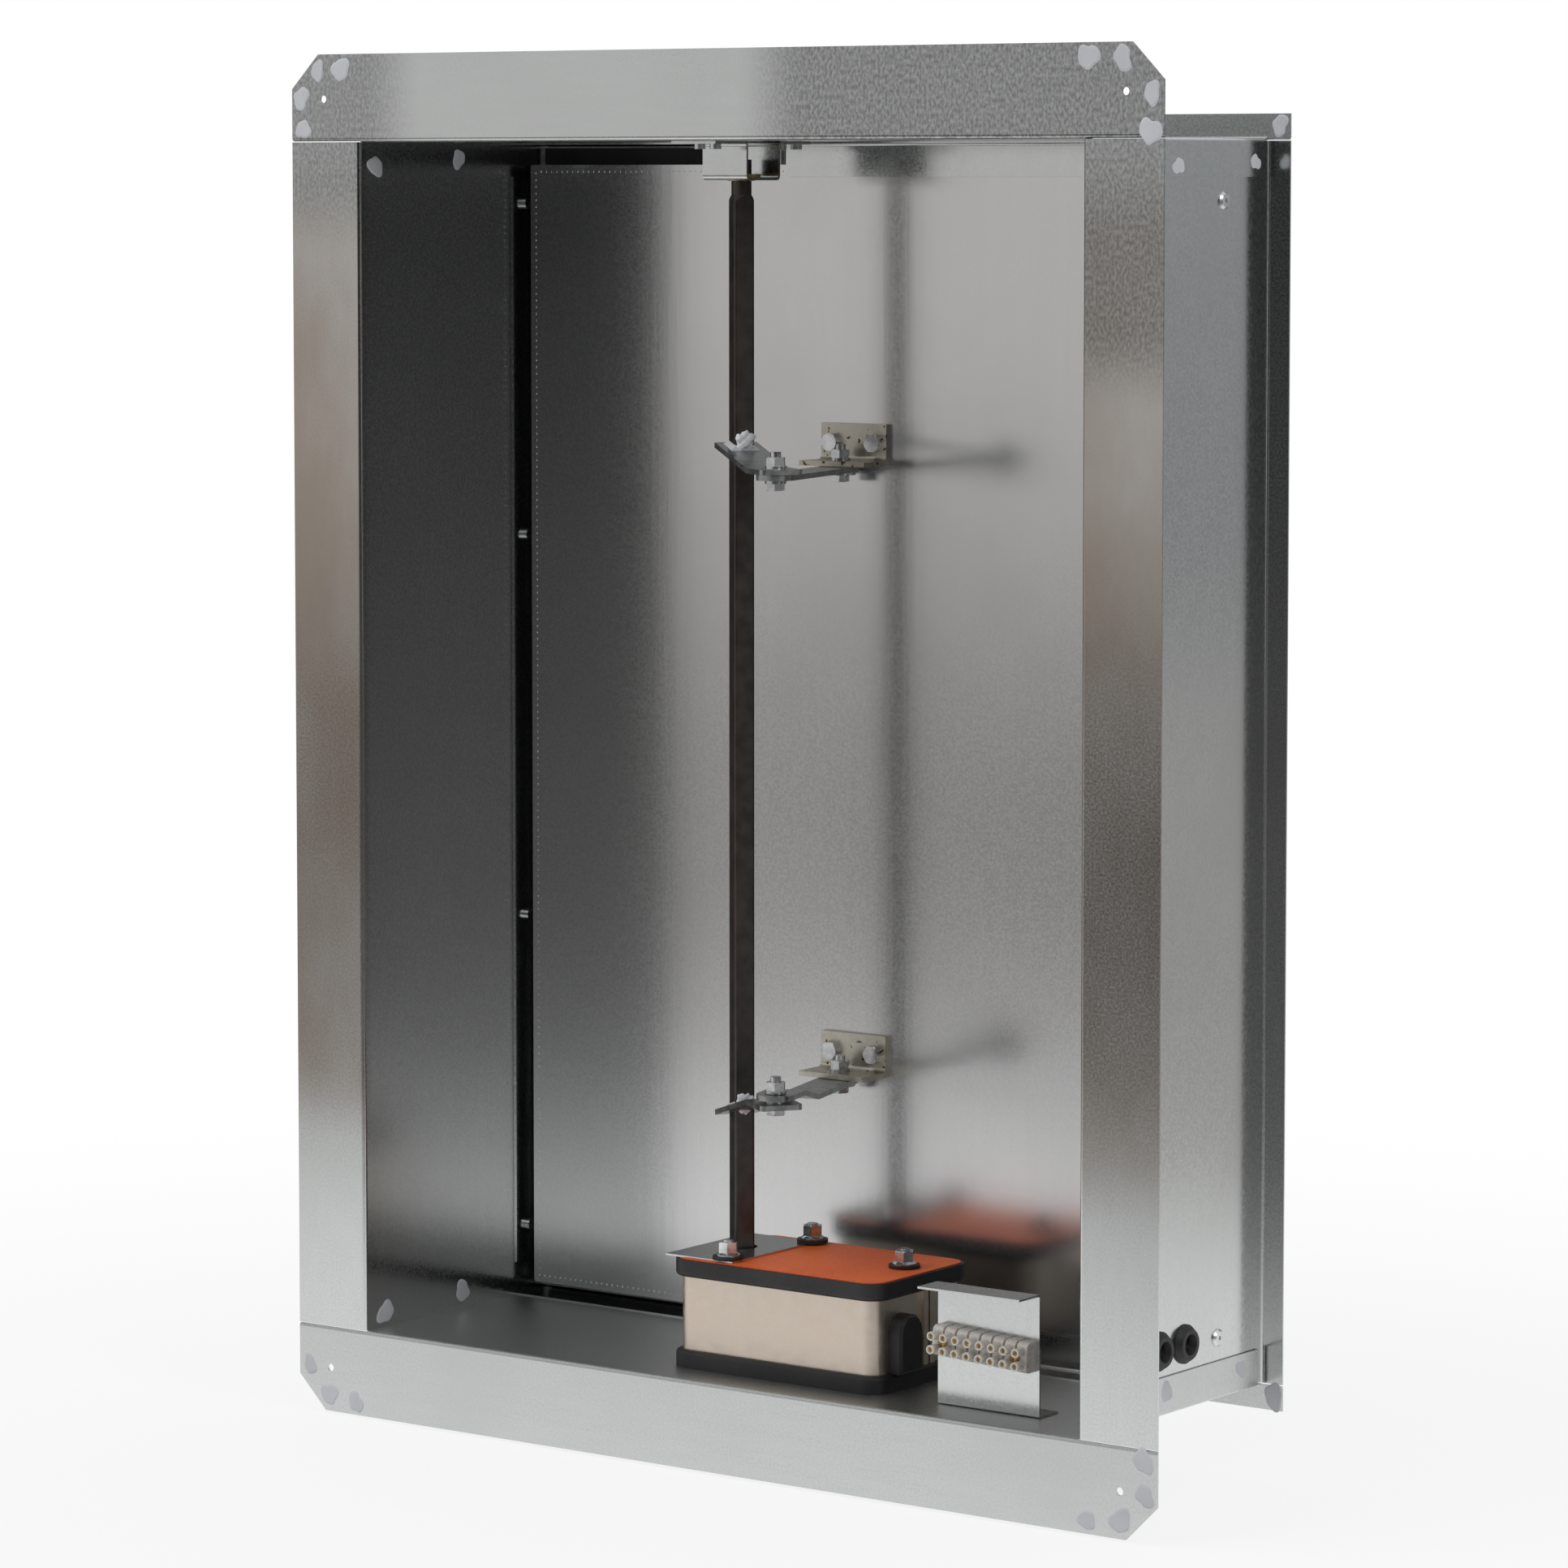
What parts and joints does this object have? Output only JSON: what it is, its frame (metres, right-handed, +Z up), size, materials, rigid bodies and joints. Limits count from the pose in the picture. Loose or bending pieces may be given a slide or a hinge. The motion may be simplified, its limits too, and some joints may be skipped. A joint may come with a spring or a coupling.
{
  "type": "fire damper",
  "caption": "Rectangular galvanised fire damper, 500 x 700 mm, with a butterfly blade, crank linkage, electric actuator and terminal strip",
  "frame": {"origin": "centre of the passage in the plane of the front flange's face", "axes": "+X to the right seen from the front, +Y into the duct, +Z up"},
  "size_m": [0.604, 0.187, 0.8],
  "materials": {
    "galvanised_sheet": "galvanised, fine spangle",
    "black_rubber": "matt",
    "rivet_aluminium": "plain",
    "brass": "turned",
    "zinc_plated_steel": "bright zinc",
    "yellowed_zinc_steel": "aged zinc with rust specks",
    "zinc_paint": "brushed-on zinc paint",
    "bare_steel": "bare bar with rusty edges",
    "black_plastic": "matt",
    "dark_plastic": "matt",
    "case_steel": "bright rolled sheet",
    "orange_film": "bare label without print",
    "mineral_board": "board",
    "clear_plastic": "milky translucent"
  },
  "bodies": {
    "casing": {"top_panel": "galvanised_sheet", "bottom_panel": "galvanised_sheet", "left_panel": "galvanised_sheet", "right_panel": "galvanised_sheet", "rear_stop_side": "galvanised_sheet", "rear_stop_top": "galvanised_sheet", "rear_stop_bottom": "galvanised_sheet", "front_stop_side": "galvanised_sheet", "front_stop_top": "galvanised_sheet", "front_stop_bottom": "galvanised_sheet", "rear_stop_seal": "black_rubber", "front_stop_seal": "black_rubber", "stop_rivets": "rivet_aluminium", "upper_axle_bush": "brass", "lower_axle_bush": "brass", "shaft_bracket": "galvanised_sheet", "shaft_bush": "brass", "bracket_rivets": "rivet_aluminium", "actuator_top_cap": "black_plastic", "actuator_bottom_cap": "black_plastic", "actuator_case": "case_steel", "actuator_body": "dark_plastic", "actuator_label": "orange_film", "actuator_mount_plate": "galvanised_sheet", "actuator_studs": "zinc_plated_steel", "actuator_washers": "black_rubber", "actuator_nuts": "zinc_plated_steel", "actuator_cable_entry": "black_plastic", "terminal_bracket": "galvanised_sheet", "terminal_strip": "clear_plastic", "terminal_screws": "brass", "terminal_fixing_screws": "brass", "cable_grommets": "black_rubber"},
    "blade": {"blade_front_skin": "galvanised_sheet", "blade_rear_skin": "galvanised_sheet", "blade_core": "mineral_board", "upper_stub_axle": "zinc_plated_steel", "lower_stub_axle": "zinc_plated_steel", "thrust_collar": "zinc_plated_steel", "bracket_bolts": "zinc_plated_steel", "bracket_nuts": "zinc_plated_steel", "upper_blade_bracket": "yellowed_zinc_steel", "lower_blade_bracket": "yellowed_zinc_steel", "drive_pivot_bolts": "zinc_plated_steel", "drive_pivot_nuts": "zinc_plated_steel", "drive_pivot_washers": "zinc_plated_steel"},
    "crank": {"drive_shaft": "bare_steel", "upper_lever": "yellowed_zinc_steel", "upper_lever_weld": "zinc_paint", "lower_lever": "yellowed_zinc_steel", "lower_lever_weld": "zinc_paint", "lever_pivot_bolts": "zinc_plated_steel", "lever_pivot_nuts": "zinc_plated_steel", "lever_pivot_washers": "zinc_plated_steel", "actuator_hub": "bare_steel"},
    "upper_link": {"upper_link": "yellowed_zinc_steel"},
    "lower_link": {"lower_link": "yellowed_zinc_steel"}
  },
  "joints": [
    {"name": "blade_swing", "type": "hinge", "parent": "casing", "child": "blade", "pos_m": [-0.062, 0.159, 0], "axis": [0, 0, 1], "range_deg": [0, 90]},
    {"name": "shaft_turn", "type": "hinge", "parent": "casing", "child": "crank", "pos_m": [-0.028, 0.072, 0], "axis": [0, 0, 1], "range_deg": [0, 93]},
    {"name": "upper_link_swing", "type": "hinge", "parent": "crank", "child": "upper_link", "pos_m": [0.02378, 0.03438, 0.1612], "axis": [0, 0, 1], "range_deg": [-82, 0]},
    {"name": "lower_link_swing", "type": "hinge", "parent": "crank", "child": "lower_link", "pos_m": [0.02378, 0.03438, -0.1883], "axis": [0, 0, 1], "range_deg": [-82, 0]}
  ],
  "couplings": [
    {"joint": "shaft_turn", "follows": "blade_swing", "ratio": 1.0322},
    {"joint": "upper_link_swing", "follows": "blade_swing", "ratio": -0.909},
    {"joint": "lower_link_swing", "follows": "blade_swing", "ratio": -0.909}
  ]
}
